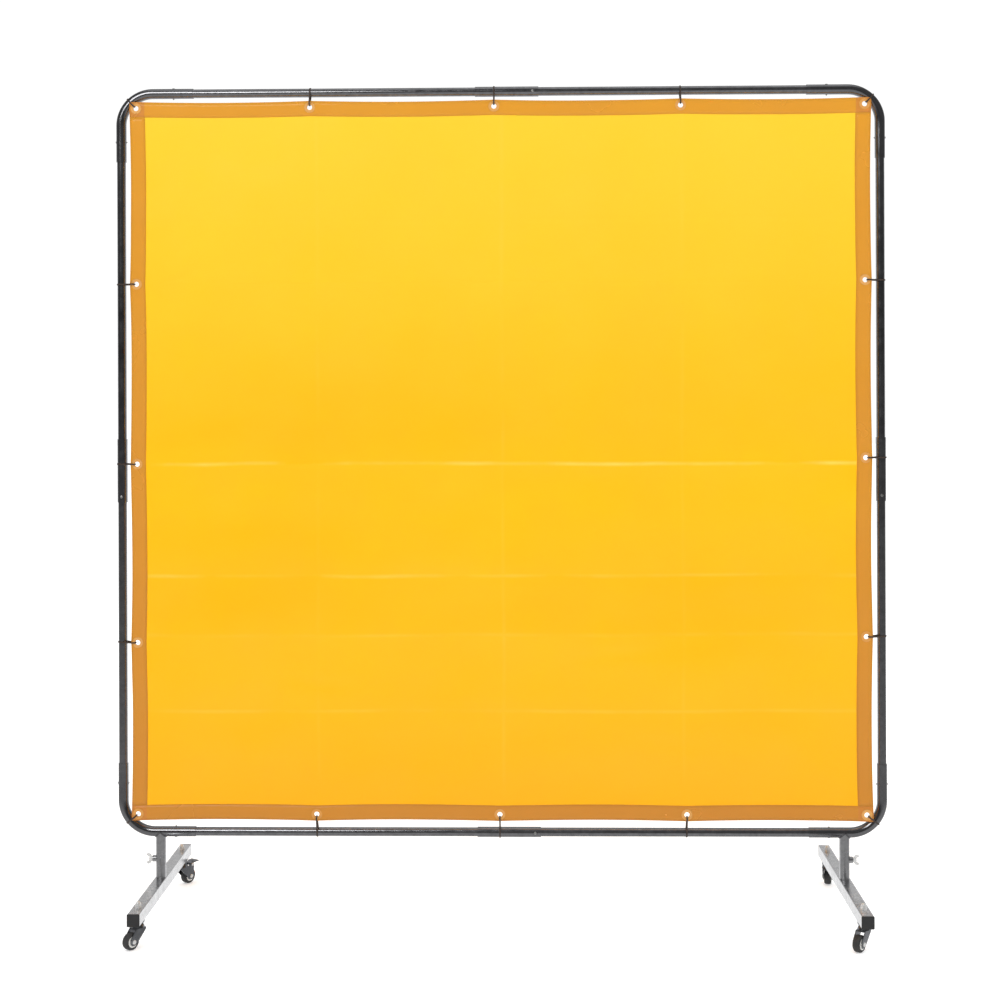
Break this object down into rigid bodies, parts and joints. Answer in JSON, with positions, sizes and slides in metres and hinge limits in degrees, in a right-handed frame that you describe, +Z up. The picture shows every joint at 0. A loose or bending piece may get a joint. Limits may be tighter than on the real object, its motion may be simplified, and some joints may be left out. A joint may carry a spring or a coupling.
{
  "type": "welding curtain screen",
  "caption": "Free-standing welding screen: tinted vinyl curtain lashed by its eyelets into a round-cornered tube frame on two square-tube feet with swivel castors.",
  "frame": {"origin": "on the floor under the middle of the frame, at the bottom centre of the bounding box", "axes": "+Z up; the curtain faces -Y; +X runs to the right along the frame as seen from the front; the feet run along Y"},
  "size_m": [1.9246, 0.6, 2.0723],
  "materials": {
    "frame_steel": "dark zinc plate, glossy, fine drawn lines along the tube",
    "post_steel": "grey zinc plate, satin",
    "foot_plating": "bright zinc plate",
    "plug_plastic": "black moulded polyethylene",
    "screw_zinc": "bright zinc plate",
    "wing_zinc": "cast, bright zinc plate",
    "castor_zinc": "pressed steel, blue zinc plate",
    "bright_nickel": "nickel plate",
    "hub_plastic": "pale moulded nylon",
    "tyre_rubber": "dark grey rubber",
    "curtain_vinyl": "glossy amber tinted clear vinyl",
    "hem_vinyl": "glossy amber vinyl, doubled and welded",
    "eyelet_plastic": "clear plastic over amber vinyl",
    "tie_nylon": "black nylon"
  },
  "bodies": {
    "frame": {"bottom_sleeve": "frame_steel", "bottom_tube_left": "frame_steel", "bottom_tube_right": "frame_steel", "cable_ties": "tie_nylon", "castor_stems": "castor_zinc", "corner_screws": "screw_zinc", "corner_tube_bottom_left": "frame_steel", "corner_tube_bottom_right": "frame_steel", "corner_tube_top_left": "frame_steel", "corner_tube_top_right": "frame_steel", "curtain_panel": "curtain_vinyl", "dome_nuts": "bright_nickel", "eyelets": "eyelet_plastic", "foot_bar_left": "foot_plating", "foot_bar_right": "foot_plating", "foot_end_plugs": "plug_plastic", "foot_stub_left": "foot_plating", "foot_stub_right": "foot_plating", "hem_bottom": "hem_vinyl", "hem_left": "hem_vinyl", "hem_right": "hem_vinyl", "hem_top": "hem_vinyl", "left_sleeve": "frame_steel", "left_tube_lower": "frame_steel", "left_tube_upper": "frame_steel", "post_left": "post_steel", "post_nuts": "post_steel", "post_right": "post_steel", "right_sleeve": "frame_steel", "right_tube_lower": "frame_steel", "right_tube_upper": "frame_steel", "sleeve_screws": "screw_zinc", "top_sleeve": "frame_steel", "top_tube_left": "frame_steel", "top_tube_right": "frame_steel"},
    "brake_rear_left": {"brake_pedal_rear_left": "castor_zinc"},
    "brake_rear_right": {"brake_pedal_rear_right": "castor_zinc"},
    "castor_front_left": {"castor_fork_front_left": "castor_zinc", "wheel_axle_front_left": "bright_nickel"},
    "castor_front_right": {"castor_fork_front_right": "castor_zinc", "wheel_axle_front_right": "bright_nickel"},
    "castor_rear_left": {"castor_fork_rear_left": "castor_zinc", "pedal_pin_rear_left": "bright_nickel", "wheel_axle_rear_left": "bright_nickel"},
    "castor_rear_right": {"castor_fork_rear_right": "castor_zinc", "pedal_pin_rear_right": "bright_nickel", "wheel_axle_rear_right": "bright_nickel"},
    "wheel_front_left": {"tyre_front_left": "tyre_rubber", "wheel_hub_front_left": "hub_plastic"},
    "wheel_front_right": {"tyre_front_right": "tyre_rubber", "wheel_hub_front_right": "hub_plastic"},
    "wheel_rear_left": {"tyre_rear_left": "tyre_rubber", "wheel_hub_rear_left": "hub_plastic"},
    "wheel_rear_right": {"tyre_rear_right": "tyre_rubber", "wheel_hub_rear_right": "hub_plastic"},
    "wing_bolt_left": {"wing_bolt_left": "wing_zinc"},
    "wing_bolt_right": {"wing_bolt_right": "wing_zinc"}
  },
  "joints": [
    {"name": "wing_bolt_left_turn", "type": "hinge", "parent": "frame", "child": "wing_bolt_left", "pos_m": [-0.854, 0, 0.14], "axis": [-1, 0, 0], "range_deg": [0, 720]},
    {"name": "wing_bolt_right_turn", "type": "hinge", "parent": "frame", "child": "wing_bolt_right", "pos_m": [0.854, 0, 0.14], "axis": [1, 0, 0], "range_deg": [0, 720]},
    {"name": "castor_front_left_swivel", "type": "hinge", "parent": "frame", "child": "castor_front_left", "pos_m": [-0.854, -0.246, 0.05], "axis": [0, 0, 1], "continuous": true},
    {"name": "wheel_front_left_roll", "type": "hinge", "parent": "castor_front_left", "child": "wheel_front_left", "pos_m": [-0.86784, -0.26437, 0.02], "axis": [0.7986, -0.6018, 0], "continuous": true},
    {"name": "castor_front_right_swivel", "type": "hinge", "parent": "frame", "child": "castor_front_right", "pos_m": [0.854, -0.246, 0.05], "axis": [0, 0, 1], "continuous": true},
    {"name": "wheel_front_right_roll", "type": "hinge", "parent": "castor_front_right", "child": "wheel_front_right", "pos_m": [0.83984, -0.26412, 0.02], "axis": [0.788, -0.6157, 0], "continuous": true},
    {"name": "castor_rear_left_swivel", "type": "hinge", "parent": "frame", "child": "castor_rear_left", "pos_m": [-0.854, 0.246, 0.05], "axis": [0, 0, 1], "continuous": true},
    {"name": "wheel_rear_left_roll", "type": "hinge", "parent": "castor_rear_left", "child": "wheel_rear_left", "pos_m": [-0.84131, 0.26518, 0.02], "axis": [-0.8339, 0.5519, 0], "continuous": true},
    {"name": "brake_rear_left_press", "type": "hinge", "parent": "castor_rear_left", "child": "brake_rear_left", "pos_m": [-0.8391, 0.26851, 0.05], "axis": [-0.8339, 0.5519, 0], "range_deg": [0, 16]},
    {"name": "castor_rear_right_swivel", "type": "hinge", "parent": "frame", "child": "castor_rear_right", "pos_m": [0.854, 0.246, 0.05], "axis": [0, 0, 1], "continuous": true},
    {"name": "wheel_rear_right_roll", "type": "hinge", "parent": "castor_rear_right", "child": "wheel_rear_right", "pos_m": [0.85917, 0.26841, 0.02], "axis": [-0.9744, 0.225, 0], "continuous": true},
    {"name": "brake_rear_right_press", "type": "hinge", "parent": "castor_rear_right", "child": "brake_rear_right", "pos_m": [0.86007, 0.27231, 0.05], "axis": [-0.9744, 0.225, 0], "range_deg": [0, 16]}
  ]
}
